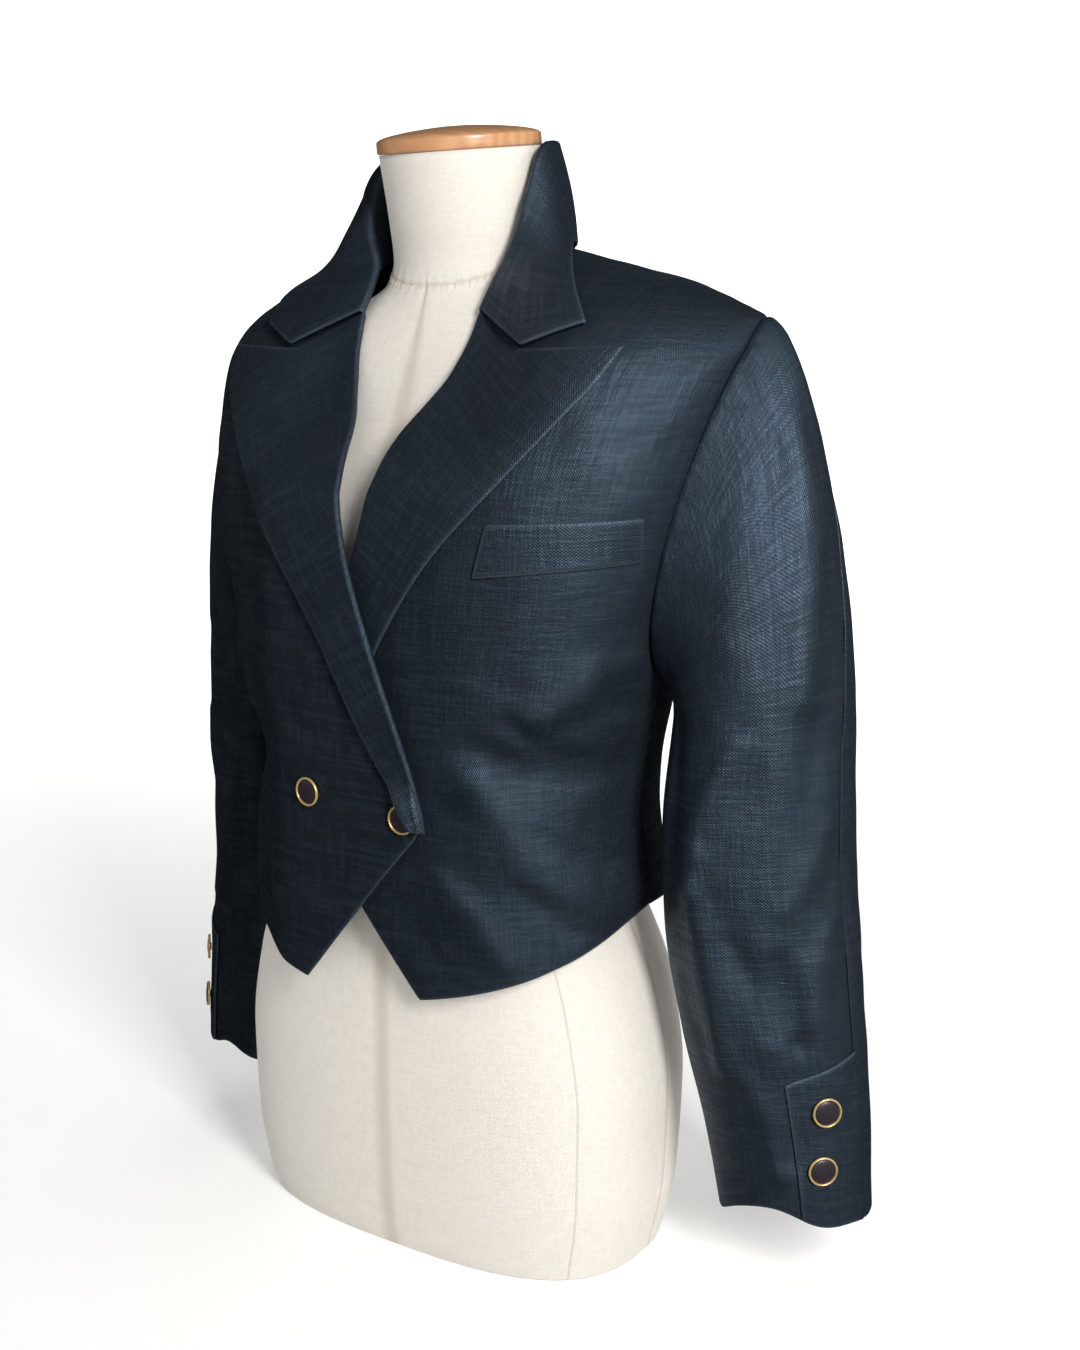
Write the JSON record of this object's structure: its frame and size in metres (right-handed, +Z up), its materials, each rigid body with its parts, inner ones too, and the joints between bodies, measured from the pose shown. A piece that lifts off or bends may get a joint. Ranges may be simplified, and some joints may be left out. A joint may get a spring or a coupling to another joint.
{
  "type": "linen blazer on dress form",
  "caption": "Cropped double-breasted dark linen blazer with peak lapels, pointed front hems and tabbed cuffs, worn on a limbless linen dress form with a domed wooden neck cap.",
  "frame": {"origin": "centre of the dress form's flat base", "axes": "+Z up along the form, -Y the front of the jacket, +X the wearer's left"},
  "size_m": [0.6185, 0.2703, 0.8112],
  "materials": {
    "jacket_linen": "matte slubbed weave",
    "form_linen": "matte",
    "cap_wood": "varnished",
    "button_rim": "polished",
    "button_face": "satin"
  },
  "bodies": {
    "root": {"back": "jacket_linen", "front_left": "jacket_linen", "front_right": "jacket_linen", "lapel_left": "jacket_linen", "lapel_right": "jacket_linen", "collar": "jacket_linen", "sleeve_left_upper": "jacket_linen", "sleeve_left_under": "jacket_linen", "sleeve_right_upper": "jacket_linen", "sleeve_right_under": "jacket_linen", "pocket_welt": "jacket_linen", "cuff_tab_left": "jacket_linen", "cuff_tab_right": "jacket_linen", "front_button_outer_face": "button_face", "front_button_outer_rim": "button_rim", "front_button_edge_face": "button_face", "front_button_edge_rim": "button_rim", "cuff_button_left_high_face": "button_face", "cuff_button_left_high_rim": "button_rim", "cuff_button_left_low_face": "button_face", "cuff_button_left_low_rim": "button_rim", "cuff_button_right_high_face": "button_face", "cuff_button_right_high_rim": "button_rim", "cuff_button_right_low_face": "button_face", "cuff_button_right_low_rim": "button_rim", "form_body": "form_linen", "form_cap": "cap_wood"}
  },
  "joints": []
}
